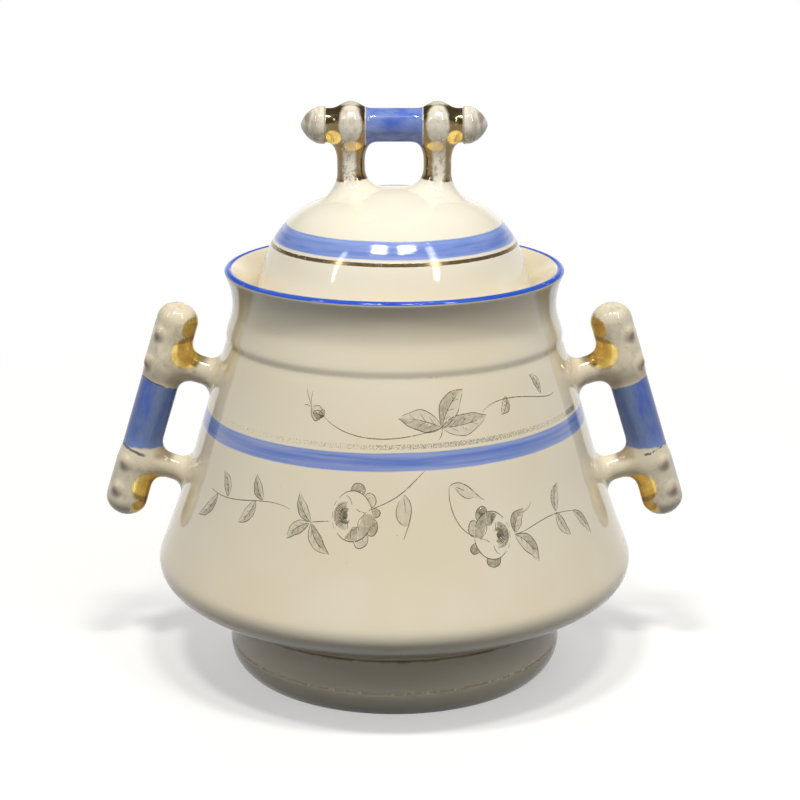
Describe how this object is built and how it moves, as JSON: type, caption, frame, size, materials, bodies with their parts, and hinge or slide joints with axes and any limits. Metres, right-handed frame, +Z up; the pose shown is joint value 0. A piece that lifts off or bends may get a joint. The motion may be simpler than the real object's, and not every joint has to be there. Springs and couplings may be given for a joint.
{
  "type": "sugar bowl",
  "caption": "Lidded porcelain sugar bowl: bell-shaped body on a turned foot, bar handles at the sides, and a lift-off domed lid with a crossbar knob.",
  "frame": {"origin": "centre of the ring that the foot stands on, in the plane of the table", "axes": "+Z up along the bowl's axis, +X through the right-hand handle and along the knob's bar, +Y away from the viewed side"},
  "size_m": [0.126, 0.103, 0.1222],
  "materials": {
    "bowl_glaze": "clear glossy glaze over warm white porcelain, with blue bands and thin grey transfer sprigs",
    "foot_glaze": "clear glossy glaze, bare and matt where it stands",
    "lid_glaze": "clear glossy glaze with one blue band and one thin gold line",
    "handle_glaze": "glossy glaze, brushed blue grip, worn gold lustre at the arms",
    "knob_glaze": "glossy glaze, brushed blue grip, worn gold lustre on the posts and buds"
  },
  "bodies": {
    "bowl": {"foot_ring": "foot_glaze", "bowl_body": "bowl_glaze", "right_handle": "handle_glaze", "left_handle": "handle_glaze"},
    "lid": {"lid_dome": "lid_glaze", "lid_ring": "lid_glaze", "lid_knob": "knob_glaze"}
  },
  "joints": [
    {"name": "lid_lift", "type": "slide", "parent": "bowl", "child": "lid", "axis": [0, 0, 1], "range_m": [0, 0.06]}
  ]
}
